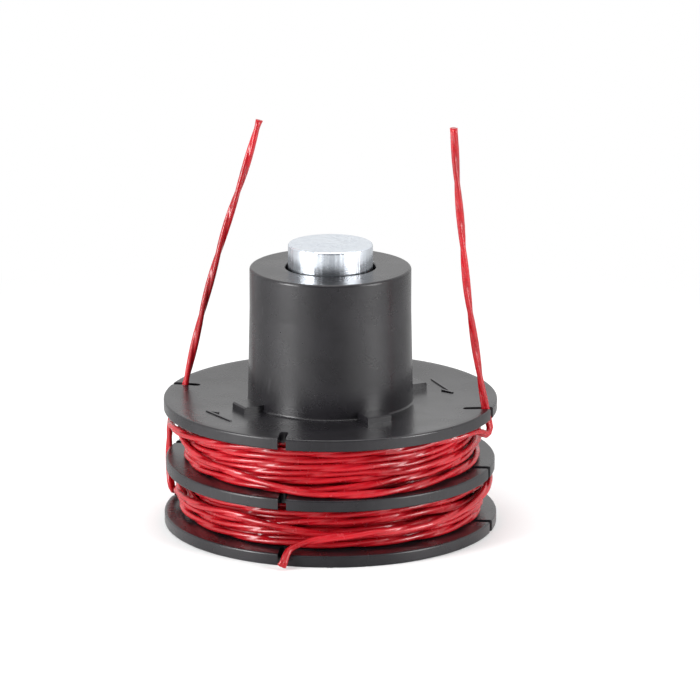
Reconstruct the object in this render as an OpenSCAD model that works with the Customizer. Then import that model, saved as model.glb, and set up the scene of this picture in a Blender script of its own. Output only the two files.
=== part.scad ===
// Trimmer line spool: one moulding with three slotted flanges and a hollow neck,
// a steel button pressed into the end of the neck, and two wound cutting lines.
// Z is the spool's axis. The origin is the centre of the bottom flange's lower face.

/* [Flanges] */
// Diameter of the top and bottom flanges
flange_d = 68; // [60:0.5:90]
// Diameter of the middle flange
middle_flange_d = 67.2; // [60:0.2:90]
// Thickness of each flange at its rim
flange_t = 2.4; // [1.6:0.1:4]
// Radius of the flange edges
flange_edge = 0.35; // [0.1:0.05:0.6]
// Fall of the top face from the rim to the foot of the neck
face_fall = 0.7; // [0.1:0.1:1]

/* [Winding chambers] */
// Diameter of the drum that the line is wound on
drum_d = 44; // [40:0.5:52]
// Wall of the drum
drum_wall = 2; // [1.2:0.1:2.4]
// Height of the lower chamber
lower_chamber_h = 8.9; // [6:0.1:16]
// Height of the upper chamber
upper_chamber_h = 10.1; // [6:0.1:16]
// Thickness of the solid web under the top flange
roof_t = 1.6; // [1.2:0.1:3]

/* [Line slots] */
// Number of slots in each flange
slot_count = 4; // [2:1:8]
// Play on each side of the line in a slot
slot_clear = 0.05; // [0.02:0.01:0.3]
// Depth of a slot from the rim
slot_depth = 5; // [2:0.1:8]
// Angle of the first slot's mouth round the axis
slot_at = -16.5; // [-45:0.5:45]
// Angle between a slot and the radius at its mouth
slot_skew = 11; // [0:1:25]

/* [Neck] */
// Outer diameter of the neck at its journal
neck_d = 32.8; // [30:0.1:36]
// Growth of the neck's radius from the journal down to its foot, as the mould's draft
neck_draft = 0.45; // [0.1:0.05:0.8]
// Height of the straight journal at the neck's upper end, with the edge
journal_h = 8.5; // [4:0.5:12]
// Height of the neck above the top flange's rim
neck_h = 27.1; // [15:0.1:40]
// Radius of the neck's upper edge
neck_edge = 0.5; // [0.2:0.1:1]
// Fillet at the foot of the neck
foot_fillet = 0.4; // [0.2:0.1:0.8]
// Wall of the neck round the bore that takes the head's drive hub and spring
neck_wall = 2.6; // [1.6:0.1:4]
// Wall of the bore inside the drum
hub_wall = 2.1; // [1.2:0.1:2.4]
// Thickness of the cap that closes the bore
cap_t = 6.7; // [4.2:0.1:9]
// Bevel round the closed end of the bore
bore_bevel = 0.6; // [0.4:0.1:1]

/* [Ratchet lugs] */
// Number of lugs round the foot of the neck
lug_count = 4; // [2:1:6]
// Angle of the first lug round the axis
lug_at = 28; // [0:1:90]
// Width of a lug
lug_w = 5.3; // [3:0.1:8]
// Reach of a lug beyond the neck
lug_l = 4.6; // [2:0.1:6]
// Height of a lug above the foot of the neck
lug_h = 1.45; // [0.8:0.05:4]
// Bevel on a lug's outer edge
lug_bevel = 0.3; // [0.1:0.05:0.6]
// Width of the drive notches in the mouth of the bore
notch_w = 4.4; // [2:0.1:6]
// Height of the drive notches
notch_h = 4; // [2:0.1:8]

/* [Underside ribs] */
// Number of ribs between the bore's wall and the drum
rib_count = 8; // [4:1:12]
// Thickness of a rib
rib_t = 1.6; // [0.8:0.1:2.4]
// Height from the bottom face to the foot of the ribs
rib_inset = 2; // [1:0.5:8]

/* [Direction marks] */
// Distance of the front mark's middle from the axis
front_mark_reach = 26.9; // [23.5:0.1:28]
// Length of the front mark
front_mark_l = 9.2; // [6:0.1:12]
// Distance of the back mark's middle from the axis
back_mark_reach = 24.5; // [23.5:0.1:28]
// Length of the back mark
back_mark_l = 11.4; // [6:0.1:12]
// Length of the barb at a mark's tip
barb_l = 3; // [1.5:0.1:4]
// Angle between the barb and the mark
barb_angle = 25; // [15:1:45]
// Width of a mark's line
mark_w = 0.45; // [0.3:0.05:0.8]
// Height of a mark above the flange's face
mark_h = 0.22; // [0.1:0.02:0.4]

/* [Bump button] */
// Diameter of the button's head
button_d = 17.2; // [14:0.1:20]
// Height that the button stands above the neck
button_stand = 4.8; // [2:0.1:8]
// Radius of the button's upper edge
button_edge = 0.45; // [0.1:0.05:1]
// Depth of the button's seat in the neck
seat_depth = 2.4; // [1:0.1:2.6]
// Gap round the head in its seat
seat_clear = 0.6; // [0.2:0.05:1]
// Diameter of the button's stem
stem_d = 8; // [5:0.1:10]
// Play of the stem in its hole
stem_clear = 0.02; // [0.01:0.01:0.1]
// Depth of the stem's end above the cap's lower face
stem_inset = 0.4; // [0.1:0.1:1]
// Bevel on the stem's end
stem_bevel = 0.5; // [0.1:0.1:0.5]

/* [Cutting line] */
// Diameter of the line
line_d = 1.6; // [1.2:0.1:2.4]
// Depth of the upper winding on the drum
upper_fill = 8.4; // [4:0.1:9.5]
// Depth of the lower winding on the drum
lower_fill = 9.8; // [4:0.1:10]
// Gap round a winding in its chamber
winding_clear = 0.2; // [0.1:0.05:0.5]

/* [Hidden] */

$fn = 96;
// Overrun of every cut past the faces that it opens
overrun = 1;
// Steps in each rounded corner of a profile
corner_steps = 5;
// Sides of a line's tube, and steps between two points of its route
line_sides = 8;
route_steps = 2;

// Heights of the flanges' lower faces, from the bottom up
middle_z = flange_t + lower_chamber_h;
top_z = middle_z + flange_t + upper_chamber_h;
// Rim height of the top face, and the height at the foot of the neck
face_z = top_z + flange_t;
foot_z = face_z - face_fall;
neck_z = face_z + neck_h;
bore_z = neck_z - cap_t;

flange_r = flange_d / 2;
middle_flange_r = middle_flange_d / 2;
drum_r = drum_d / 2;
neck_r = neck_d / 2;
bore_r = neck_r - neck_wall;
seat_r = button_d / 2 + seat_clear;
stem_hole_r = stem_d / 2 + stem_clear;
slot_w = line_d + 2 * slot_clear;
// Width of the level rim round the sloping top face
rim_land = flange_t / 2;
// Depth by which lugs and marks are rooted in the body
root = flange_t / 2;
// Where the two direction marks stand round the axis
front_mark_at = 213.5;
back_mark_at = 20.5;
// Small mark of the moulding gate, sunk in the front of the neck below its edge
gate_r = 0.35;
gate_depth = 0.12;
gate_at = -85;
gate_drop = 0.9;
// Round, bevel and lead-in at the mouths of the bore and the seat
mouth_round = 0.3;
seat_round = 0.15;

// Routes of the free line, as points on its middle
upper_end_route = [
    [27.0, -16.4, 22.6], [29.0, -14.1, 22.45], [30.3, -12.6, 21.95], [31.15, -11.5, 21.3], [31.7, -10.6, 21.05],
    [32.1, -9.85, 21.5], [32.2, -9.5, 22.5], [31.8, -9.58, 23.8], [31.3, -9.5, 26.2], [30.6, -9.5, 30.0],
    [29.9, -9.5, 34.2], [28.6, -9.8, 42.6], [27.4, -10.0, 51.0], [26.2, -10.0, 63.0], [25.2, -10.0, 73.5],
    [24.5, -10.0, 84.0]];
lower_end_route = [
    [-26.8, 18.8, 4.4], [-29.4, 14.8, 3.9], [-31.6, 11.8, 3.7], [-33.0, 9.9, 4.5], [-33.5, 9.5, 6.4],
    [-33.8, 9.4, 9.6], [-33.8, 9.4, 13.0], [-33.3, 9.5, 17.6], [-32.0, 9.5, 21.2], [-30.6, 9.5, 23.8],
    [-29.9, 9.4, 25.8], [-29.2, 9.4, 29.0], [-27.2, 9.2, 37.6], [-25.1, 9.1, 46.0], [-21.5, 9.3, 58.6],
    [-17.8, 10.0, 69.9], [-14.45, 11.2, 81.2]];
lower_tuck_route = [
    [8.0, -31.9, 6.6], [4.0, -32.6, 6.3], [0.0, -32.8, 5.9], [-3.6, -32.6, 5.2], [-6.2, -32.5, 4.35],
    [-7.6, -32.7, 3.8], [-8.45, -33.3, 3.2], [-8.9, -34.1, 2.4], [-9.2, -34.9, 1.6], [-9.6, -35.6, 0.95]];

function unit(v) = v / norm(v);
function turned(a, r = 1) = [r * cos(a), r * sin(a)];

// Points of one corner of an outline, rounded to radius r between its neighbours a and b
function round_corner(a, p, b, r) =
    r == 0 ? [p] :
    let (u = unit(a - p), v = unit(b - p), half = acos(u * v) / 2,
         centre = p + unit(u + v) * r / sin(half),
         first = p + u * r / tan(half) - centre,
         side = cross(v, u) > 0 ? 1 : -1,
         start = atan2(first[1], first[0]))
    [for (i = [0:corner_steps])
        centre + turned(start + side * (180 - 2 * half) * i / corner_steps, r)];

// An outline from corners given as [point, radius]
function outline(corners) =
    let (n = len(corners))
    [for (i = [0:n - 1])
        each round_corner(corners[(i + n - 1) % n][0], corners[i][0], corners[(i + 1) % n][0], corners[i][1])];

// Half section of the moulding before it is hollowed
function body_section() = outline([
    [[0, 0], 0],
    [[flange_r, 0], flange_edge], [[flange_r, flange_t], flange_edge],
    [[drum_r, flange_t], flange_edge], [[drum_r, middle_z], flange_edge],
    [[middle_flange_r, middle_z], flange_edge], [[middle_flange_r, middle_z + flange_t], flange_edge],
    [[drum_r, middle_z + flange_t], flange_edge], [[drum_r, top_z], flange_edge],
    [[flange_r, top_z], flange_edge], [[flange_r, face_z], flange_edge],
    [[flange_r - rim_land, face_z], 0],
    [[neck_r + neck_draft, foot_z], foot_fillet], [[neck_r, neck_z - journal_h], 0],
    [[neck_r, neck_z], neck_edge],
    [[0, neck_z], 0]]);

// Half section of the drive bore, with its mouth eased
function bore_section() = [
    [0, -overrun], [bore_r + mouth_round, -overrun], [bore_r + mouth_round, 0],
    [bore_r, mouth_round], [bore_r, bore_z - bore_bevel], [bore_r - bore_bevel, bore_z], [0, bore_z]];

// Half section of the button's seat and stem hole
function seat_section() = [
    [0, bore_z - overrun], [stem_hole_r, bore_z - overrun], [stem_hole_r, neck_z - seat_depth],
    [seat_r, neck_z - seat_depth], [seat_r, neck_z - seat_round],
    [seat_r + seat_round, neck_z], [seat_r + seat_round, neck_z + overrun], [0, neck_z + overrun]];

// Ring-shaped pocket between the bore's wall and the drum, open at the bottom
module underside_pocket() {
    pocket_top = top_z - roof_t;
    difference() {
        translate([0, 0, -overrun]) cylinder(r = drum_r - drum_wall, h = pocket_top + overrun);
        translate([0, 0, -2 * overrun]) cylinder(r = bore_r + hub_wall, h = pocket_top + 3 * overrun);
        for (i = [0:rib_count - 1])
            rotate(360 * i / rib_count)
                translate([0, -rib_t / 2, rib_inset]) cube([drum_r, rib_t, pocket_top]);
    }
}

// Drive notches across the wall at the mouth of the bore
module drive_notches() {
    for (i = [0:lug_count - 1])
        rotate(lug_at + 360 * i / lug_count)
            translate([bore_r - overrun, -notch_w / 2, -overrun])
                cube([neck_r - bore_r + 2 * overrun, notch_w, notch_h + overrun]);
}

// One slot through all three flanges, with a round inner end
module line_slot() {
    translate([flange_r, 0, -overrun]) rotate(slot_skew) {
        translate([-slot_depth, -slot_w / 2, 0]) cube([slot_depth + flange_t, slot_w, face_z + 2 * overrun]);
        translate([-slot_depth, 0, 0]) cylinder(d = slot_w, h = face_z + 2 * overrun);
    }
}

// Ratchet lug from the neck outwards, standing on the face
module lug() {
    top = foot_z + lug_h;
    reach = neck_r + lug_l;
    rotate([90, 0, 0])
        linear_extrude(lug_w, center = true)
            polygon([[neck_r - root, foot_z - root], [reach, foot_z - root], [reach, top - lug_bevel],
                     [reach - lug_bevel, top], [neck_r - root, top]]);
}

// Height of the sloping top face at a distance from the axis
function face_at(reach) =
    foot_z + face_fall * (reach - neck_r) / (flange_r - rim_land - neck_r);

// Raised direction mark, a line along the rim with one barb at its tip
module direction_mark(reach, length) {
    top = face_at(reach) + mark_h;
    bar_h = root + mark_h;
    translate([reach, 0, top - bar_h]) {
        translate([-mark_w / 2, -length / 2, 0]) cube([mark_w, length, bar_h]);
        translate([0, -length / 2 + mark_w / 2, 0]) rotate(barb_angle)
            translate([-mark_w / 2, -mark_w / 2, 0]) cube([mark_w, barb_l, bar_h]);
    }
}

// Sunk trace of the moulding gate on the side of the neck
module gate_trace() {
    rotate(gate_at) translate([neck_r - gate_depth, 0, neck_z - gate_drop]) rotate([0, 90, 0])
        cylinder(r = gate_r, h = overrun, $fn = 24);
}

module spool_body() {
    color("#2f2f33")
    difference() {
        union() {
            rotate_extrude() polygon(body_section());
            for (i = [0:lug_count - 1])
                rotate(lug_at + 360 * i / lug_count) lug();
            rotate(front_mark_at) direction_mark(front_mark_reach, front_mark_l);
            rotate(back_mark_at) direction_mark(back_mark_reach, back_mark_l);
        }
        gate_trace();
        rotate_extrude() polygon(bore_section());
        rotate_extrude() polygon(seat_section());
        underside_pocket();
        drive_notches();
        for (i = [0:slot_count - 1])
            rotate(slot_at + 360 * i / slot_count) line_slot();
    }
}

// Steel button with a stem pressed through the neck's cap
module bump_button() {
    seat_z = neck_z - seat_depth;
    top = neck_z + button_stand;
    end = bore_z + stem_inset;
    color("silver")
    rotate_extrude() polygon(outline([
        [[0, end], 0], [[stem_d / 2 - stem_bevel, end], 0], [[stem_d / 2, end + stem_bevel], 0],
        [[stem_d / 2, seat_z], 0], [[button_d / 2, seat_z], 0],
        [[button_d / 2, top], button_edge], [[0, top], 0]]));
}

// Outer shape of a wound line: a ring whose outside shows its top layer of turns
module winding(floor_z, chamber_h, fill) {
    low = floor_z + winding_clear;
    height = chamber_h - 2 * winding_clear;
    rows = floor(height / line_d);
    pitch = (height - line_d) / (rows - 1);
    lay_r = drum_r + fill - line_d / 2;
    rotate_extrude() {
        translate([drum_r + winding_clear, low]) square([lay_r - drum_r - winding_clear, height]);
        for (i = [0:rows - 1])
            translate([lay_r, low + line_d / 2 + i * pitch]) circle(d = line_d, $fn = 32);
    }
}

// A point between p[i] and p[i + 1] of a route, on a smooth curve through all its points
function route_point(p, i, t) =
    let (n = len(p) - 1,
         a = i > 0 ? p[i - 1] : 2 * p[0] - p[1], b = p[i], c = p[i + 1],
         d = i + 2 <= n ? p[i + 2] : 2 * p[n] - p[n - 1])
    (2 * b + (c - a) * t + (2 * a - 5 * b + 4 * c - d) * t * t + (3 * b - 3 * c + d - a) * t * t * t) / 2;

function smooth_route(p) = [
    for (i = [0:len(p) - 2]) for (k = [0:route_steps - 1]) route_point(p, i, k / route_steps),
    p[len(p) - 1]];

// Tube of a line along its route, with each ring square to the route. The side vector
// fixes the ring's turn and is never along the route.
module line_tube(route, side) {
    path = smooth_route(route);
    n = len(path);
    rings = [for (i = [0:n - 1])
        let (along = unit(path[min(i + 1, n - 1)] - path[max(i - 1, 0)]),
             u = unit(cross(side, along)), v = cross(along, u))
        for (k = [0:line_sides - 1])
            path[i] + (u * cos(360 * k / line_sides) + v * sin(360 * k / line_sides)) * line_d / 2];
    walls = [for (i = [0:n - 2]) for (k = [0:line_sides - 1])
        let (a = i * line_sides + k, b = i * line_sides + (k + 1) % line_sides)
        [a, a + line_sides, b + line_sides, b]];
    ends = [[for (k = [0:line_sides - 1]) k],
            [for (k = [line_sides - 1:-1:0]) (n - 1) * line_sides + k]];
    polyhedron(rings, concat(walls, ends));
}

module upper_line() {
    color("crimson") winding(middle_z + flange_t, upper_chamber_h, upper_fill);
}

module lower_line() {
    color("crimson") winding(flange_t, lower_chamber_h, lower_fill);
}

module upper_line_end() {
    color("crimson") line_tube(upper_end_route, [1, 0, 0]);
}

module lower_line_end() {
    color("crimson") line_tube(lower_end_route, [1, 0, 0]);
}

module lower_line_tuck() {
    color("crimson") line_tube(lower_tuck_route, [0, 0, 1]);
}

spool_body();
bump_button();
upper_line();
upper_line_end();
lower_line();
lower_line_end();
lower_line_tuck();
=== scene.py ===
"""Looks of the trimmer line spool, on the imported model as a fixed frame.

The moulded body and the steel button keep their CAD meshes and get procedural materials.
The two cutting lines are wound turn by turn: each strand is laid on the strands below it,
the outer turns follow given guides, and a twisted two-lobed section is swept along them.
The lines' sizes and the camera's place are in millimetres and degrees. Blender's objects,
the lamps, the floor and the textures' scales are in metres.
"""

from __future__ import annotations

import logging
import math
from dataclasses import dataclass
from enum import Enum
from typing import Sequence

import bpy
import numpy as np
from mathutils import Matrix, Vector

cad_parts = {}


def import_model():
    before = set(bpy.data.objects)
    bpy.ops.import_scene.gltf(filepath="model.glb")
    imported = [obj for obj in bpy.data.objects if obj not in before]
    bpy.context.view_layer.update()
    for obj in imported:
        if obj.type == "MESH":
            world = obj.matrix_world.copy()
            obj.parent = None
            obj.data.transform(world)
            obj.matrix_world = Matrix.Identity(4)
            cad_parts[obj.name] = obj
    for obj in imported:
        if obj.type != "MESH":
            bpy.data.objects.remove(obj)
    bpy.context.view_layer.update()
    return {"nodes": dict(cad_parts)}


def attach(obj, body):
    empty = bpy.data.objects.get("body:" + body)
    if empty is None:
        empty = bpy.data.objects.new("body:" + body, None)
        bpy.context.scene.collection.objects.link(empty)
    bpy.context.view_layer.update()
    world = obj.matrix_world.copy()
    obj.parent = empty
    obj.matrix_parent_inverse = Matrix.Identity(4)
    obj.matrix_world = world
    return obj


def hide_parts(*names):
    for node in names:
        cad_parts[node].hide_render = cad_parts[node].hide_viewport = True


logging.basicConfig(level=logging.INFO, format="%(message)s")
log = logging.getLogger("spool")

MM = 0.001
TURN = 360
# Widths that a smoothing window reaches to each side, and new points in each span of a route
BLUR_REACH = 3
SPAN_STEPS = 8
Point = tuple[float, float, float]
Colour = tuple[float, float, float, float]


class Slot(str, Enum):
    """Material slots of the record."""

    BODY = "moulded_body"
    STEEL = "button_steel"
    LINE = "cutting_line"


class Ease(str, Enum):
    """How a value goes from one end of a range to the other."""

    EVEN = "LINEAR"
    SOFT = "SMOOTHSTEP"


# Winding of the lines


@dataclass(frozen=True)
class Chamber:
    """Space between two flanges, round the drum."""

    floor: float
    roof: float
    drum_r: float = 22.0


@dataclass(frozen=True)
class RoofDip:
    """Stretch of a chamber's roof that is kept free of turns, where the lead-in passes."""

    at: float
    width: float
    depth: float


@dataclass(frozen=True)
class LineProfile:
    """Section of the twisted line: two round lobes with a groove between them."""

    lobe_r: float = 0.575
    lobe_offset: float = 0.24
    groove: float = 0.085
    groove_angle: float = 20.0
    twist_length: float = 26.8
    sides: int = 16

    def radii(self) -> np.ndarray:
        """Gives the radius of the section at each of its sides.

        Returns:
            Radii in millimetres, from the wide axis round.
        """
        a = np.linspace(0.0, 2 * math.pi, self.sides, endpoint=False)
        lobes = self.lobe_offset * np.abs(np.cos(a)) + np.sqrt(
            self.lobe_r**2 - (self.lobe_offset * np.sin(a)) ** 2)
        off = np.degrees(np.arccos(np.clip(np.abs(np.sin(a)), 0, 1)))
        return lobes - self.groove * np.exp(-((off / self.groove_angle) ** 2))


@dataclass(frozen=True)
class Guide:
    """One outer turn: azimuth, height and least radius of points that its middle passes.

    A least radius of 0 stands for the coil's own outside.
    """

    points: tuple[Point, ...]


def blurred(values: np.ndarray, sigma: float) -> np.ndarray:
    """Smooths a series with a bell-shaped window.

    Args:
        values: Series to smooth.
        sigma: Width of the window, in steps.

    Returns:
        The smoothed series, of the same length.
    """
    reach = int(math.ceil(BLUR_REACH * sigma))
    window = np.exp(-0.5 * (np.arange(-reach, reach + 1) / sigma) ** 2)
    padded = np.pad(values, reach, mode="edge")
    return np.convolve(padded, window / window.sum(), mode="valid")


@dataclass(frozen=True)
class Coil:
    """A line wound turn on turn in its chamber.

    The inner layers go up and down in rows, and the outer turns follow guides. Azimuths, and
    the widths of the smoothing, are in degrees round the axis. A knot is a row of azimuth,
    height, least radius and hold, where hold is the share of the way back to its height that
    a turn goes in each round of settling.
    """

    chamber: Chamber
    layers: int
    rows: int
    first: float
    last: float
    guides: tuple[Guide, ...]
    outside: float
    seed: int
    stop: float
    roof_dip: RoofDip | None = None
    spacing: float = 1.48
    stations: int = 120
    start: float = 90.0
    knots_at: tuple[float, ...] = (0.12, 0.37, 0.62, 0.87)
    wander: float = 0.1
    front: tuple[float, float] = (180.0, 340.0)
    front_hold: float = 0.2
    hold: float = 0.02
    settling: int = 160
    pull: float = 0.03
    height_share: float = 0.4
    spreads: int = 3
    push_share: float = 0.36
    knot_blur: float = 6.0
    radius_blur: float = 4.8
    height_blur: float = 4.0
    last_blur: float = 3.6

    def _knots(self) -> tuple[np.ndarray, int]:
        """Lists the knots of the whole winding.

        Returns:
            The knots in order of azimuth, and the number of turns.
        """
        rng = np.random.default_rng(self.seed)
        knots: list[tuple[float, float, float, float]] = []
        turn = 0
        pitch = (self.last - self.first) / (self.rows - 1)
        for layer in range(self.layers):
            odd = layer % 2
            heights = [self.first + pitch * (row + 0.5 * odd) for row in range(self.rows - odd)]
            for height in heights[::-1] if odd else heights:
                for part in self.knots_at:
                    off = float(rng.normal(0.0, self.wander))
                    knots.append((self.start + TURN * (turn + part), height + off, 0.0, self.hold))
                turn += 1
        for guide in self.guides:
            for azimuth, height, radius in guide.points:
                in_front = self.front[0] <= azimuth <= self.front[1]
                knots.append((azimuth + TURN * turn, height, radius or self.outside,
                              self.front_hold if in_front else self.hold))
            turn += 1
        return np.array(sorted(knots)), turn

    def _roof(self, azimuth: np.ndarray) -> np.ndarray:
        """Gives the greatest height of the line's middle round the chamber.

        Args:
            azimuth: Azimuths of the stations of one turn.

        Returns:
            A height for each station.
        """
        roof = np.full(self.stations, self.chamber.roof - self.spacing / 2)
        if self.roof_dip:
            dip = self.roof_dip
            round_axis = (azimuth - dip.at + TURN / 2) % TURN - TURN / 2
            roof -= dip.depth * np.exp(-((round_axis / dip.width) ** 4))
        return roof

    def _laid(self, z: np.ndarray, inner: float) -> np.ndarray:
        """Lays each turn on the turns below it.

        Args:
            z: Heights, a row for each turn.
            inner: Least radius, on the drum.

        Returns:
            Radii, a row for each turn.
        """
        r = np.zeros_like(z)
        for k in range(len(z)):
            support = np.full(self.stations, inner)
            if k:
                gap = self.spacing**2 - (z[k] - z[:k]) ** 2
                over = np.where(gap > 0, r[:k] + np.sqrt(np.maximum(gap, 0)), 0)
                support = np.maximum(support, over.max(axis=0))
            r[k] = support
        return r

    def _spread(self, r: np.ndarray, z: np.ndarray) -> None:
        """Pushes turns apart, in place, where they are closer than the line is thick.

        Args:
            r: Radii, a row for each turn.
            z: Heights, a row for each turn.
        """
        dr = r[:, None] - r[None]
        dz = z[:, None] - z[None]
        apart = np.sqrt(dr * dr + dz * dz) + 1e-6
        push = np.clip(self.spacing - apart, 0, None) / apart
        turns = np.arange(len(r))
        push[turns, turns] = 0
        r += self.push_share * (dr * push).sum(axis=1)
        z += self.push_share * (dz * push).sum(axis=1)

    def _eased(self, values: np.ndarray, width: float) -> np.ndarray:
        """Smooths the whole winding along the line.

        Args:
            values: Radii or heights, a row for each turn.
            width: Width of the smoothing, in degrees.

        Returns:
            The smoothed values, a row for each turn.
        """
        return blurred(values.ravel(), self.stations * width / TURN).reshape(values.shape)

    def path(self) -> np.ndarray:
        """Lays the winding and lets it settle under the pull of the line.

        Returns:
            Points of the line's middle in millimetres, from the drum outwards.
        """
        n = self.stations
        knots, turns = self._knots()
        theta = self.start + TURN * np.arange(turns * n) / n
        want, least, hold = (np.interp(theta, knots[:, 0], knots[:, k]).reshape(turns, n)
                             for k in (1, 2, 3))
        want = self._eased(want, self.knot_blur)
        least = self._eased(least, self.knot_blur)
        inner = self.chamber.drum_r + self.spacing / 2
        floor = self.chamber.floor + self.spacing / 2
        roof = self._roof(theta[:n])
        z = np.clip(want, floor, roof)
        r = self._laid(z, inner)
        for _ in range(self.settling):
            r = 0.5 * (r + self._eased(r, self.radius_blur)) - self.pull
            level = self._eased(z, self.height_blur)
            z = (1 - self.height_share) * z + self.height_share * level
            z += hold * (want - z)
            for _ in range(self.spreads):
                self._spread(r, z)
                r = np.maximum(r, np.maximum(inner, least))
                z = np.clip(z, floor, roof)
        log.info("coil of %d turns, out to %.2f mm", turns, float(r.max()))
        keep = theta <= self.stop + TURN * (turns - 1)
        theta = np.radians(theta[keep])
        z, r = (self._eased(values, self.last_blur).ravel()[keep] for values in (z, r))
        return np.stack([r * np.cos(theta), r * np.sin(theta), z], axis=1)


def smooth_route(points: Sequence[Point] | np.ndarray, step: float) -> np.ndarray:
    """Passes a smooth curve through points and spaces it evenly.

    Args:
        points: Points in millimetres.
        step: Distance between the new points.

    Returns:
        Points on the curve, from the first given point to the last.
    """
    p = np.asarray(points, float)
    ends = np.vstack([2 * p[0] - p[1], p, 2 * p[-1] - p[-2]])
    t = np.linspace(0, 1, SPAN_STEPS, endpoint=False)[:, None]
    spans = []
    for a, b, c, d in zip(ends[:-3], ends[1:-2], ends[2:-1], ends[3:]):
        spans.append((2 * b + (c - a) * t + (2 * a - 5 * b + 4 * c - d) * t**2
                      + (3 * b - 3 * c + d - a) * t**3) / 2)
    dense = np.vstack([*spans, p[-1:]])
    run = run_length(dense)
    at = np.linspace(0, run[-1], max(2, round(run[-1] / step)))
    return np.stack([np.interp(at, run, dense[:, k]) for k in range(3)], axis=1)


def run_length(path: np.ndarray) -> np.ndarray:
    """Gives the distance along a path from its start to each of its points.

    Args:
        path: Points of the path.

    Returns:
        A distance for each point.
    """
    return np.concatenate([[0], np.cumsum(np.linalg.norm(np.diff(path, axis=0), axis=1))])


@dataclass(frozen=True)
class CuttingLine:
    """A twisted line, swept along its coil and free stretches.

    The section's wide side faces the +X axis at the height wide_at of the free end, and
    the section grows by the share flare at both cut tips.
    """

    name: str
    nodes: tuple[str, ...]
    coil: Coil
    lead_in: tuple[Point, ...]
    lead_out: tuple[Point, ...]
    wide_at: float
    profile: LineProfile = LineProfile()
    flare: float = 0.12
    flare_length: float = 0.5
    lead_in_step: float = 1.2
    lead_out_step: float = 1.0
    free_points: int = 60
    first_across: Point = (0.3, 0.2, 0.9)

    def _middle(self) -> np.ndarray:
        """Joins lead-in, coil and lead-out into one run of points.

        Returns:
            Points of the line's middle, in millimetres.
        """
        coil = self.coil.path()
        parts = []
        # Each lead's curve also passes two points of the coil, so that it joins it smoothly
        if self.lead_in:
            first = smooth_route(list(self.lead_in) + [tuple(coil[2]), tuple(coil[4])],
                                 self.lead_in_step)
            parts.append(first[:-2])
            coil = coil[4:]
        parts.append(coil[:-3])
        last = smooth_route([tuple(coil[-6]), tuple(coil[-3])] + list(self.lead_out),
                            self.lead_out_step)
        gap = np.linalg.norm(last - coil[-3], axis=1).argmin()
        parts.append(last[gap + 1:])
        return np.vstack(parts)

    def _frames(self, path: np.ndarray) -> tuple[np.ndarray, np.ndarray]:
        """Carries a cross direction along the path without turning it about the path.

        Args:
            path: Points of the line's middle.

        Returns:
            Two directions across the path at each point, square to each other.
        """
        along = np.gradient(path, axis=0)
        along /= np.linalg.norm(along, axis=1)[:, None]
        side = np.zeros_like(path)
        side[0] = np.cross(along[0], self.first_across)
        side[0] /= np.linalg.norm(side[0])
        for i in range(1, len(path)):
            v = side[i - 1] - along[i] * side[i - 1].dot(along[i])
            side[i] = v / np.linalg.norm(v)
        return side, np.cross(along, side)

    def _rings(self, path: np.ndarray, run: np.ndarray) -> np.ndarray:
        """Places the twisted section at each point of the path.

        Args:
            path: Points of the line's middle.
            run: Distance along the path to each point.

        Returns:
            Points of the surface, a ring of them for each point of the path.
        """
        side, cross = self._frames(path)
        free_start = len(path) - self.free_points
        mark = free_start + np.abs(path[free_start:, 2] - self.wide_at).argmin()
        phase = math.atan2(cross[mark][0], side[mark][0])
        twist = phase - 2 * math.pi * (run - run[mark]) / self.profile.twist_length
        around = np.linspace(0, 2 * math.pi, self.profile.sides, endpoint=False)
        angle = twist[:, None] + around[None, :]
        tip = np.minimum(run, run[-1] - run)
        swell = 1 + self.flare * np.exp(-tip / self.flare_length)
        radius = self.profile.radii()[None, :] * swell[:, None]
        return (path[:, None, :] + radius[..., None]
                * (np.cos(angle)[..., None] * side[:, None, :]
                   + np.sin(angle)[..., None] * cross[:, None, :]))

    def _mesh(self, rings: np.ndarray, run: np.ndarray) -> bpy.types.Mesh:
        """Joins the rings into a closed tube, with a UV map of run and way round.

        Args:
            rings: Points of the surface, in millimetres.
            run: Distance along the path to each ring.

        Returns:
            The tube's mesh, in metres.
        """
        count, sides = rings.shape[:2]
        i = np.arange(count - 1)[:, None] * sides
        k = np.arange(sides)[None, :]
        nxt = (k + 1) % sides
        quads = np.stack([i + k, i + nxt, i + sides + nxt, i + sides + k], axis=-1).reshape(-1, 4)
        faces = quads.tolist()
        faces.append(list(range(sides))[::-1])
        faces.append([(count - 1) * sides + j for j in range(sides)])
        mesh = bpy.data.meshes.new(self.name)
        mesh.from_pydata((rings.reshape(-1, 3) * MM).tolist(), [], faces)
        u = np.repeat(run[:-1, None, None], sides, axis=1) + np.zeros((1, 1, 4))
        u[:, :, 2:] = run[1:, None, None]
        v = np.stack([k[0], k[0] + 1, k[0] + 1, k[0]], axis=1)[None] / sides + np.zeros_like(u)
        uv = np.zeros((len(mesh.loops), 2))
        uv[: u.size] = np.stack([u, v], axis=-1).reshape(-1, 2)
        mesh.uv_layers.new(name="run").data.foreach_set("uv", uv.ravel())
        mesh.validate()
        mesh.shade_smooth()
        for tip in mesh.polygons[-2:]:
            tip.use_smooth = False
        return mesh

    def build(self) -> bpy.types.Object:
        """Returns:
            The line's object.
        """
        path = self._middle()
        run = run_length(path)
        obj = bpy.data.objects.new(self.name, self._mesh(self._rings(path, run), run))
        bpy.context.scene.collection.objects.link(obj)
        log.info("%s: %.0f mm, %d faces", self.name, run[-1], len(obj.data.polygons))
        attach(obj, "root")
        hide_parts(*self.nodes)
        return obj

    def dress(self, obj: bpy.types.Object, material: bpy.types.Material) -> None:
        """Gives the line its material."""
        obj.data.materials.append(material)


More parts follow.
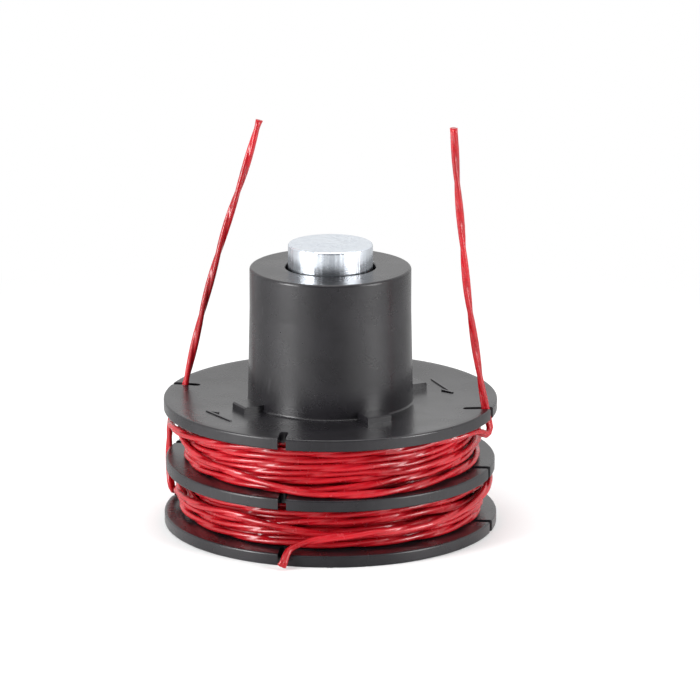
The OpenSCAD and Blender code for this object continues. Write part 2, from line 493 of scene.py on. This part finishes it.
UPPER_COIL = Coil(
    chamber=Chamber(floor=13.7, roof=23.8),
    layers=5, rows=6, first=14.6, last=22.9, outside=29.1, seed=11, stop=318.0,
    guides=(
        Guide(((120, 15.0, 0), (190, 14.6, 29.2), (205, 14.6, 29.0), (229, 14.6, 29.2),
               (248, 14.5, 29.6), (265, 14.7, 30.0), (279, 15.4, 30.4), (286, 15.7, 30.4),
               (293, 16.6, 30.2), (317, 16.6, 0), (400, 16.6, 0))),
        Guide(((120, 16.4, 0), (205, 16.0, 0), (247, 16.5, 0), (259, 16.5, 0), (285, 17.3, 0),
               (305, 17.6, 0), (400, 17.8, 0))),
        Guide(((120, 17.6, 0), (195, 16.9, 0), (220, 17.7, 0), (242, 18.2, 0), (254, 18.0, 0),
               (261, 18.3, 0), (285, 18.3, 0), (303, 18.0, 0), (400, 19.0, 0))),
        Guide(((120, 19.2, 0), (190, 18.6, 0), (205, 18.3, 0), (222, 18.8, 29.8),
               (237, 19.6, 0), (251, 19.3, 0), (263, 19.2, 0), (283, 19.6, 0), (309, 18.7, 0),
               (330, 19.5, 0), (400, 20.2, 0))),
        Guide(((120, 20.8, 0), (187, 20.0, 0), (209, 20.0, 0), (219, 20.4, 0), (230, 20.7, 0),
               (251, 20.4, 0), (260, 20.9, 0), (285, 20.7, 0), (303, 20.5, 0), (317, 20.4, 0),
               (335, 21.0, 0), (360, 21.3, 0), (400, 21.4, 0))),
        Guide(((120, 21.6, 30.0), (165, 21.6, 30.2), (176, 21.2, 30.2), (182, 20.6, 30.2),
               (188, 19.6, 30.2), (194, 18.6, 30.2), (202, 17.7, 30.3), (212, 17.3, 30.3),
               (220, 17.3, 30.5), (235, 16.7, 30.7), (244, 16.0, 31.0), (255, 14.9, 31.6),
               (265, 14.6, 32.2), (275, 14.5, 32.5), (290, 14.5, 32.1), (301, 14.6, 31.6),
               (313, 14.8, 30.4), (324, 14.8, 30.1), (345, 14.8, 30.1), (400, 15.0, 0))),
        Guide(((120, 17.6, 29.8), (150, 19.0, 30.8), (158, 19.6, 31.2), (164, 19.9, 31.8),
               (173, 20.2, 32.6), (180, 20.5, 32.7), (188, 20.9, 32.5), (195, 21.2, 32.2),
               (203, 21.3, 31.6), (213, 21.4, 30.9), (222, 21.7, 30.2), (235, 21.9, 0),
               (250, 22.0, 0), (295, 21.8, 0), (313, 21.4, 0), (330, 22.2, 0), (400, 22.2, 0))),
    ),
)

LOWER_COIL = Coil(
    chamber=Chamber(floor=2.4, roof=11.3),
    layers=6, rows=5, first=10.4, last=3.3, outside=29.0, seed=5, stop=446.0,
    roof_dip=RoofDip(at=55.0, width=60.0, depth=1.4),
    guides=(
        Guide(((120, 6.0, 0), (165, 6.4, 30.2), (178, 5.6, 30.6), (184, 4.4, 30.5),
               (192, 3.6, 30.2), (204, 3.2, 29.2), (224, 3.4, 28.9), (231, 3.4, 28.9),
               (244, 3.6, 28.9), (254, 3.4, 29.2), (285, 3.6, 29.2), (301, 3.6, 29.4),
               (325, 3.4, 30.0), (345, 3.4, 30.3), (400, 4.0, 0))),
        Guide(((120, 5.2, 0), (202, 5.0, 0), (223, 5.0, 0), (244, 5.5, 0), (255, 5.7, 0),
               (270, 5.2, 0), (298, 5.0, 0), (311, 4.6, 0), (330, 5.0, 30.2), (350, 4.8, 30.6),
               (365, 4.8, 30.5), (400, 5.0, 0))),
        Guide(((120, 6.8, 0), (205, 6.6, 0), (240, 6.6, 0), (253, 7.6, 0), (268, 8.6, 0),
               (283, 7.6, 0), (290, 8.3, 0), (309, 8.5, 29.6), (325, 7.8, 30.4),
               (335, 7.5, 30.9), (345, 7.4, 31.4), (360, 7.4, 31.5), (375, 7.3, 31.2),
               (400, 7.2, 0))),
        Guide(((120, 8.6, 0), (205, 9.4, 0), (230, 9.7, 0), (244, 9.8, 0), (270, 9.7, 0),
               (287, 9.6, 0), (300, 10.1, 29.6), (330, 9.6, 30.3), (345, 9.5, 30.8),
               (360, 9.4, 30.9), (375, 9.2, 30.8), (400, 8.6, 0))),
        Guide(((120, 8.4, 0), (150, 9.0, 30.0), (165, 9.0, 30.8), (178, 8.0, 31.1),
               (189, 7.0, 31.1), (206, 7.3, 30.9), (216, 7.7, 30.6), (228, 8.2, 30.4),
               (235, 7.9, 0), (244, 7.3, 0), (252, 6.9, 0), (258, 6.2, 0), (263, 5.7, 0),
               (283, 5.3, 0), (300, 6.0, 0), (330, 6.2, 30.4), (345, 6.1, 31.0),
               (360, 6.0, 31.2), (375, 5.9, 31.0), (400, 5.6, 0))),
    ),
)

UPPER_LINE = CuttingLine(
    name="upper_cutting_line",
    nodes=("upper_line", "upper_line_end"),
    coil=UPPER_COIL,
    lead_in=(),
    lead_out=((27.0, -16.4, 22.6), (29.0, -14.1, 22.45), (30.3, -12.6, 21.95),
              (31.15, -11.5, 21.3), (31.7, -10.6, 21.05), (32.1, -9.85, 21.5),
              (32.2, -9.5, 22.5), (31.8, -9.58, 23.8), (31.3, -9.5, 26.2), (30.6, -9.5, 30.0),
              (29.9, -9.5, 34.2), (28.6, -9.8, 42.6), (27.4, -10.0, 51.0), (26.2, -10.0, 63.0),
              (25.2, -10.0, 73.5), (24.5, -10.0, 84.0)),
    wide_at=53.2,
)

LOWER_LINE = CuttingLine(
    name="lower_cutting_line",
    nodes=("lower_line", "lower_line_end", "lower_line_tuck"),
    coil=LOWER_COIL,
    lead_in=((-9.6, -35.6, 0.95), (-9.2, -34.9, 1.6), (-8.9, -34.1, 2.4), (-8.45, -33.3, 3.2),
             (-7.6, -32.7, 3.8), (-6.2, -32.5, 4.35), (-3.6, -32.6, 5.2), (0.0, -32.8, 5.9),
             (4.0, -32.6, 6.3), (8.0, -31.9, 6.6), (12.3, -30.4, 6.6), (18.3, -27.2, 6.6),
             (21.1, -25.1, 6.8), (26.8, -18.6, 7.6), (30.8, -11.2, 8.6), (32.4, -2.8, 9.6),
             (32.0, 4.0, 10.0), (30.3, 10.4, 10.2), (27.0, 15.5, 10.3), (22.5, 19.1, 10.4),
             (15.5, 21.4, 10.5), (9.0, 22.5, 10.5), (4.0, 22.7, 10.4)),
    lead_out=((-8.4, 31.0, 5.2), (-16.2, 27.8, 4.9), (-21.9, 23.9, 4.6), (-26.8, 18.8, 4.2),
              (-29.7, 14.4, 3.7), (-31.4, 10.9, 3.4), (-32.4, 8.5, 3.7), (-32.9, 8.0, 5.0),
              (-33.1, 8.6, 7.2), (-33.25, 9.2, 9.8), (-33.3, 9.4, 13.0), (-33.0, 9.5, 17.6),
              (-32.0, 9.5, 21.2), (-30.6, 9.5, 23.8), (-29.9, 9.4, 25.8), (-29.2, 9.4, 29.0),
              (-27.2, 9.2, 37.6), (-25.1, 9.1, 46.0), (-21.5, 9.3, 58.6), (-17.8, 10.0, 69.9),
              (-14.45, 11.2, 81.2)),
    wide_at=60.0,
)


# Materials


class Nodes:
    """Short hand for building a node tree."""

    def __init__(self, tree: bpy.types.NodeTree) -> None:
        """Takes the tree that the nodes go into."""
        self.tree = tree

    def add(self, kind: str, **values: object) -> bpy.types.Node:
        """Adds a node and sets its inputs or properties by name.

        Args:
            kind: Type name of the node.
            **values: Values of its inputs, or else of its properties.

        Returns:
            The node.
        """
        node = self.tree.nodes.new(kind)
        for key, value in values.items():
            if key in node.inputs:
                node.inputs[key].default_value = value
            else:
                setattr(node, key, value)
        return node

    def link(self, a: bpy.types.NodeSocket, b: bpy.types.NodeSocket) -> None:
        """Links two sockets."""
        self.tree.links.new(a, b)

    def ramp(self, value: bpy.types.NodeSocket, source: tuple[float, float],
             target: tuple[float, float], ease: Ease = Ease.EVEN) -> bpy.types.NodeSocket:
        """Maps a value from one range to another.

        Args:
            value: Socket with the value.
            source: Range of the value.
            target: Range of the result, which doesn't leave it.
            ease: How the result goes from one end to the other.

        Returns:
            Socket with the result.
        """
        node = self.add("ShaderNodeMapRange", interpolation_type=ease.value)
        for name, number in zip(("From Min", "From Max", "To Min", "To Max"), source + target):
            node.inputs[name].default_value = number
        self.link(value, node.inputs["Value"])
        return node.outputs["Result"]

    def product(self, a: bpy.types.NodeSocket, b: bpy.types.NodeSocket) -> bpy.types.NodeSocket:
        """Multiplies two values.

        Args:
            a: Socket with the first value.
            b: Socket with the second value.

        Returns:
            Socket with the product.
        """
        node = self.add("ShaderNodeMath", operation="MULTIPLY")
        self.link(a, node.inputs[0])
        self.link(b, node.inputs[1])
        return node.outputs[0]

    def number(self, share: bpy.types.NodeSocket, a: bpy.types.NodeSocket | float,
               b: bpy.types.NodeSocket | float) -> bpy.types.NodeSocket:
        """Mixes two numbers.

        Args:
            share: Socket with the share of the second number.
            a: First number, or its socket.
            b: Second number, or its socket.

        Returns:
            Socket with the mixed number.
        """
        return self._mixed("FLOAT", (0, 2, 3, 0), share, a, b)

    def colour(self, share: bpy.types.NodeSocket, a: bpy.types.NodeSocket | Colour,
               b: bpy.types.NodeSocket | Colour) -> bpy.types.NodeSocket:
        """Mixes two colours.

        Args:
            share: Socket with the share of the second colour.
            a: First colour, or its socket.
            b: Second colour, or its socket.

        Returns:
            Socket with the mixed colour.
        """
        return self._mixed("RGBA", (0, 6, 7, 2), share, a, b)

    def _mixed(self, kind: str, sockets: tuple[int, int, int, int],
               share: bpy.types.NodeSocket, *sides: object) -> bpy.types.NodeSocket:
        """Adds a Mix node.

        Args:
            kind: What it mixes.
            sockets: Numbers of its share, first side, second side and result sockets.
            share: Socket with the share of the second side.
            *sides: Both sides, as sockets or values.

        Returns:
            Socket with the result.
        """
        node = self.add("ShaderNodeMix", data_type=kind)
        factor, first, second, result = sockets
        self.link(share, node.inputs[factor])
        for number, side in zip((first, second), sides):
            if isinstance(side, bpy.types.NodeSocket):
                self.link(side, node.inputs[number])
            else:
                node.inputs[number].default_value = side
        return node.outputs[result]

    def stretched(self, vector: bpy.types.NodeSocket, scale: Point) -> bpy.types.NodeSocket:
        """Scales coordinates, so that a pattern on them is drawn out.

        Args:
            vector: Socket with the coordinates.
            scale: Factor on each axis.

        Returns:
            Socket with the scaled coordinates.
        """
        node = self.add("ShaderNodeMapping", Scale=scale)
        self.link(vector, node.inputs["Vector"])
        return node.outputs["Vector"]

    def mask(self, group: bpy.types.ShaderNodeTree, vector: bpy.types.NodeSocket,
             scale: float) -> bpy.types.NodeSocket:
        """Adds a mask group on coordinates.

        Args:
            group: The group.
            vector: Socket with the coordinates.
            scale: Scale of its pattern.

        Returns:
            Socket with the mask.
        """
        node = self.tree.nodes.new("ShaderNodeGroup")
        node.node_tree = group
        node.inputs["Scale"].default_value = scale
        self.link(vector, node.inputs["Vector"])
        return node.outputs["Mask"]


@dataclass(frozen=True)
class Relief:
    """Strength of a bump, and the height in metres of its highest point."""

    strength: float
    height: float


class Surface(Nodes):
    """Node tree of a new material, with a Principled shader."""

    def __init__(self, name: str) -> None:
        """Makes the material.

        Args:
            name: Name of the material.
        """
        self.material = bpy.data.materials.new(name)
        self.material.use_nodes = True
        super().__init__(self.material.node_tree)
        self.tree.nodes.clear()
        self.output = self.add("ShaderNodeOutputMaterial")
        self.shader = self.add("ShaderNodeBsdfPrincipled")
        self.link(self.shader.outputs["BSDF"], self.output.inputs["Surface"])

    def set(self, name: str, value: object) -> None:
        """Sets an input of the shader to a plain value."""
        self.shader.inputs[name].default_value = value

    def drive(self, name: str, socket: bpy.types.NodeSocket) -> None:
        """Links a socket to an input of the shader."""
        self.link(socket, self.shader.inputs[name])

    def place(self) -> bpy.types.NodeSocket:
        """Gives the socket with the Object coordinates."""
        return self.add("ShaderNodeTexCoord").outputs["Object"]

    def bump(self, height: bpy.types.NodeSocket, relief: Relief,
             under: bpy.types.NodeSocket | None = None) -> bpy.types.NodeSocket:
        """Adds a bump.

        Args:
            height: Socket with the height.
            relief: Its strength and size.
            under: Socket with the normal of a bump below this one.

        Returns:
            Socket with the normal.
        """
        node = self.add("ShaderNodeBump", Strength=relief.strength, Distance=relief.height)
        self.link(height, node.inputs["Height"])
        if under:
            self.link(under, node.inputs["Normal"])
        return node.outputs["Normal"]


@dataclass(frozen=True)
class Speckle:
    """Fine mottling, which all the finishes share."""

    detail: float = 5.0
    roughness: float = 0.62
    contrast: tuple[float, float] = (0.32, 0.68)

    def group(self) -> bpy.types.ShaderNodeTree:
        """Makes the mottling's node group.

        Returns:
            A group with Vector and Scale inputs that gives a mask from 0 to 1.
        """
        group = bpy.data.node_groups.new("speckle", "ShaderNodeTree")
        group.interface.new_socket("Vector", in_out="INPUT", socket_type="NodeSocketVector")
        group.interface.new_socket("Scale", in_out="INPUT", socket_type="NodeSocketFloat")
        group.interface.new_socket("Mask", in_out="OUTPUT", socket_type="NodeSocketFloat")
        n = Nodes(group)
        start, end = n.add("NodeGroupInput"), n.add("NodeGroupOutput")
        noise = n.add("ShaderNodeTexNoise", Detail=self.detail, Roughness=self.roughness)
        n.link(start.outputs["Vector"], noise.inputs["Vector"])
        n.link(start.outputs["Scale"], noise.inputs["Scale"])
        mask = n.ramp(noise.outputs["Fac"], self.contrast, (0.0, 1.0), Ease.SOFT)
        n.link(mask, end.inputs["Mask"])
        return group


@dataclass(frozen=True)
class BodyFinish:
    """Black moulded nylon: an even satin skin with fine grain and faint scuffs."""

    deep: Colour = (0.0085, 0.0078, 0.0095, 1)
    pale: Colour = (0.0140, 0.0130, 0.0155, 1)
    scuff: Colour = (0.045, 0.043, 0.047, 1)
    smooth: float = 0.23
    rough: float = 0.31
    ior: float = 1.5
    cloud_scale: float = 140.0
    patch_scale: float = 60.0
    streak_scale: float = 1500.0
    streak_draw: Point = (1.0, 1.0, 0.16)
    scuffs_from: float = 0.72
    scuffs_most: float = 0.35
    grain_scale: float = 2400.0
    grain_detail: float = 2.0
    grain: Relief = Relief(strength=0.10, height=0.0002)

    def material(self, speckle: bpy.types.ShaderNodeTree) -> bpy.types.Material:
        """Makes the moulded body's material.

        Args:
            speckle: The shared mottling group.

        Returns:
            The material.
        """
        n = Surface("moulded_nylon")
        n.set("IOR", self.ior)
        place = n.place()
        tone = n.colour(n.mask(speckle, place, self.cloud_scale), self.deep, self.pale)
        # Faint scuffs run along the mould's draw, and only where a second mask lets them
        marks = n.mask(speckle, n.stretched(place, self.streak_draw), self.streak_scale)
        patch = n.mask(speckle, place, self.patch_scale)
        few = n.ramp(n.product(marks, patch), (self.scuffs_from, 1.0), (0.0, self.scuffs_most),
                     Ease.SOFT)
        n.drive("Base Color", n.colour(few, tone, self.scuff))
        n.drive("Roughness", n.ramp(patch, (0.0, 1.0), (self.smooth, self.rough)))
        grain = n.add("ShaderNodeTexNoise", Scale=self.grain_scale,
                      Detail=self.grain_detail)
        n.link(place, grain.inputs["Vector"])
        n.drive("Normal", n.bump(grain.outputs["Fac"], self.grain))
        return n.material


@dataclass(frozen=True)
class SteelFinish:
    """Bright zinc-plated steel, turned: rings on the top, streaks down the side."""

    bright: Colour = (0.80, 0.85, 0.91, 1)
    dull: Colour = (0.68, 0.73, 0.80, 1)
    smooth: float = 0.22
    rough: float = 0.28
    ring_scale: float = 520.0
    ring_wander: float = 0.6
    ring_detail: float = 3.0
    streak_scale: float = 1100.0
    streak_draw: Point = (1.0, 1.0, 0.05)
    cloud_scale: float = 260.0
    rings: Relief = Relief(strength=0.10, height=0.0001)
    streaks: Relief = Relief(strength=0.22, height=0.0002)

    def material(self, speckle: bpy.types.ShaderNodeTree) -> bpy.types.Material:
        """Makes the button's material.

        Args:
            speckle: The shared mottling group.

        Returns:
            The material.
        """
        n = Surface("turned_steel")
        n.set("Metallic", 1.0)
        place = n.place()
        rings = n.add("ShaderNodeTexWave", wave_type="RINGS", rings_direction="Z",
                      Scale=self.ring_scale, Distortion=self.ring_wander, Detail=self.ring_detail)
        n.link(place, rings.inputs["Vector"])
        streaks = n.mask(speckle, n.stretched(place, self.streak_draw), self.streak_scale)
        cloud = n.mask(speckle, place, self.cloud_scale)
        n.drive("Base Color", n.colour(n.product(streaks, cloud), self.bright, self.dull))
        n.drive("Roughness", n.ramp(cloud, (0.0, 1.0), (self.smooth, self.rough)))
        turned = n.bump(rings.outputs["Fac"], self.rings)
        n.drive("Normal", n.bump(streaks, self.streaks, turned))
        return n.material


@dataclass(frozen=True)
class LineFinish:
    """Red nylon line, a little cloudy and see-through, with drawn streaks along it."""

    deep: Colour = (0.29, 0.0030, 0.0070, 1)
    bright: Colour = (0.45, 0.0080, 0.0160, 1)
    smooth: float = 0.19
    rough: float = 0.28
    ior: float = 1.53
    milk: float = 0.55
    milk_radius: Point = (1.0, 0.20, 0.20)
    milk_depth: float = 0.0012
    cloud_scale: float = 75.0
    fine_scale: float = 500.0
    drawn: Point = (0.35, 9.0, 1.0)
    drawn_detail: float = 3.0
    drawn_relief: Relief = Relief(strength=0.12, height=0.0001)

    def material(self, speckle: bpy.types.ShaderNodeTree) -> bpy.types.Material:
        """Makes the line's material.

        Args:
            speckle: The shared mottling group.

        Returns:
            The material.
        """
        n = Surface("red_nylon")
        n.set("IOR", self.ior)
        n.set("Subsurface Weight", self.milk)
        n.set("Subsurface Radius", self.milk_radius)
        n.set("Subsurface Scale", self.milk_depth)
        place = n.place()
        n.drive("Base Color", n.colour(n.mask(speckle, place, self.cloud_scale),
                                       self.deep, self.bright))
        n.drive("Roughness", n.ramp(n.mask(speckle, place, self.fine_scale), (0.0, 1.0),
                                    (self.smooth, self.rough)))
        run = n.add("ShaderNodeUVMap", uv_map="run")
        lines = n.add("ShaderNodeTexNoise", Scale=1.0, Detail=self.drawn_detail)
        n.link(n.stretched(run.outputs["UV"], self.drawn), lines.inputs["Vector"])
        n.drive("Normal", n.bump(lines.outputs["Fac"], self.drawn_relief))
        return n.material


@dataclass(frozen=True)
class KeptPiece:
    """A piece that keeps its CAD mesh and only gets a better material."""

    node: str
    slot: Slot
    finish: BodyFinish | SteelFinish

    def dress(self, speckle: bpy.types.ShaderNodeTree) -> None:
        """Gives the piece its material.

        Args:
            speckle: The shared mottling group.
        """
        material = self.finish.material(speckle)
        for slot in bpy.data.objects[self.node].material_slots:
            slot.material = material
        log.info("%s: %s as %s", self.node, self.slot.value, material.name)


KEPT_PIECES = (
    KeptPiece("spool_body", Slot.BODY, BodyFinish()),
    KeptPiece("bump_button", Slot.STEEL, SteelFinish()),
)


# Studio


@dataclass(frozen=True)
class View:
    """The camera's place, fitted to the reference view."""

    target: Point = (0.0, 0.0, 40.0)
    distance: float = 941.19
    elevation: float = 14.4136
    lens: float = 238.3
    sensor: float = 36.0
    shift_x: float = 0.02796
    shift_y: float = -0.02864
    clip: tuple[float, float] = (0.05, 20.0)

    def add(self) -> None:
        """Adds the camera and makes it the scene's."""
        data = bpy.data.cameras.new("camera")
        data.lens, data.sensor_width, data.sensor_fit = self.lens, self.sensor, "HORIZONTAL"
        data.shift_x, data.shift_y = self.shift_x, self.shift_y
        data.clip_start, data.clip_end = self.clip
        cam = bpy.data.objects.new("camera", data)
        e = math.radians(self.elevation)
        target = Vector(self.target) * MM
        cam.location = target + Vector((0, -math.cos(e), math.sin(e))) * self.distance * MM
        cam.rotation_euler = (target - cam.location).to_track_quat("-Z", "Y").to_euler()
        bpy.context.scene.collection.objects.link(cam)
        bpy.context.scene.camera = cam


@dataclass(frozen=True)
class Lamp:
    """A rectangular area lamp that faces the spool."""

    name: str
    place: Point
    size: tuple[float, float]
    power: float
    aim: Point = (0.0, 0.0, 0.03)

    def add(self) -> None:
        """Adds the lamp."""
        data = bpy.data.lights.new(self.name, "AREA")
        data.shape, data.energy = "RECTANGLE", self.power
        data.size, data.size_y = self.size
        lamp = bpy.data.objects.new(self.name, data)
        lamp.location = self.place
        lamp.rotation_euler = (Vector(self.aim) - lamp.location).to_track_quat(
            "-Z", "Y").to_euler()
        bpy.context.scene.collection.objects.link(lamp)


LAMPS = (
    Lamp("key", place=(-0.66, -0.37, 0.24), size=(0.30, 0.5), power=7.0),
    Lamp("fill", place=(0.68, -0.36, 0.24), size=(0.28, 0.5), power=4.8),
    Lamp("top", place=(0.0, 0.1, 1.0), size=(0.6, 0.6), power=3.5),
)


@dataclass(frozen=True)
class Floor:
    """The pale floor.

    Reflections see it darker in front of the spool, on the camera's side, and behind it.
    Far from the spool the camera sees it as plain white.
    """

    size: float = 4.0
    roughness: float = 0.7
    pale: float = 0.96
    front_from: tuple[float, float] = (-1.0, -0.82)
    front_tone: tuple[float, float] = (0.40, 0.88)
    back_from: tuple[float, float] = (-0.3, 0.3)
    back_tone: tuple[float, float] = (1.0, 0.55)
    far_from: tuple[float, float] = (0.06, 0.22)

    def add(self) -> None:
        """Adds the floor."""
        bpy.ops.object.select_all(action="DESELECT")
        bpy.ops.mesh.primitive_plane_add(size=self.size, location=(0, 0, 0))
        floor = bpy.context.object
        floor.name = "floor"
        floor.data.materials.append(self._material())

    def _material(self) -> bpy.types.Material:
        """Makes the floor's material.

        Returns:
            The material.
        """
        n = Surface("pale_floor")
        n.set("Roughness", self.roughness)
        path = n.add("ShaderNodeLightPath")
        place = n.place()
        out = n.add("ShaderNodeVectorMath", operation="NORMALIZE")
        n.link(place, out.inputs[0])
        axis = n.add("ShaderNodeSeparateXYZ")
        n.link(out.outputs["Vector"], axis.inputs[0])
        front = n.ramp(axis.outputs["Y"], self.front_from, self.front_tone, Ease.SOFT)
        back = n.ramp(axis.outputs["Y"], self.back_from, self.back_tone, Ease.SOFT)
        shade = n.number(path.outputs["Is Glossy Ray"], self.pale, n.product(front, back))
        grey = n.add("ShaderNodeCombineColor")
        for part in ("Red", "Green", "Blue"):
            n.link(shade, grey.inputs[part])
        n.drive("Base Color", grey.outputs["Color"])
        reach = n.add("ShaderNodeVectorMath", operation="LENGTH")
        n.link(place, reach.inputs[0])
        far = n.ramp(reach.outputs["Value"], self.far_from, (0.0, 1.0), Ease.SOFT)
        white = n.add("ShaderNodeEmission")
        blend = n.add("ShaderNodeMixShader")
        n.link(n.product(far, path.outputs["Is Camera Ray"]), blend.inputs[0])
        n.link(n.shader.outputs["BSDF"], blend.inputs[1])
        n.link(white.outputs["Emission"], blend.inputs[2])
        n.link(blend.outputs["Shader"], n.output.inputs["Surface"])
        return n.material


@dataclass(frozen=True)
class Room:
    """The world: white to the camera, even for plain light, darker in front for reflections."""

    plain: float = 0.68
    seen: float = 1.0
    mirrored_from: tuple[float, float] = (-1.0, 0.1)
    mirrored: tuple[float, float] = (0.12, 0.93)

    def add(self) -> None:
        """Adds the world."""
        world = bpy.data.worlds.new("studio")
        bpy.context.scene.world = world
        world.use_nodes = True
        n = Nodes(world.node_tree)
        background = n.tree.nodes["Background"]
        background.inputs["Color"].default_value = (1, 1, 1, 1)
        ray = n.add("ShaderNodeLightPath")
        coord = n.add("ShaderNodeTexCoord")
        split = n.add("ShaderNodeSeparateXYZ")
        n.link(coord.outputs["Generated"], split.inputs[0])
        room = n.ramp(split.outputs["Y"], self.mirrored_from, self.mirrored, Ease.SOFT)
        glossy = n.number(ray.outputs["Is Glossy Ray"], self.plain, room)
        strength = n.number(ray.outputs["Is Camera Ray"], glossy, self.seen)
        n.link(strength, background.inputs["Strength"])


def main() -> None:
    """Builds and dresses the spool's pieces, and then the studio."""
    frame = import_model()
    log.info("frame has %d nodes", len(frame["nodes"]))
    speckle = Speckle().group()
    red = LineFinish().material(speckle)
    for line in (UPPER_LINE, LOWER_LINE):
        line.dress(line.build(), red)
    for piece in KEPT_PIECES:
        piece.dress(speckle)
    Floor().add()
    Room().add()
    for lamp in LAMPS:
        lamp.add()
    View().add()
    bpy.context.scene.view_settings.view_transform = "Standard"


if __name__ == "__main__":
    main()
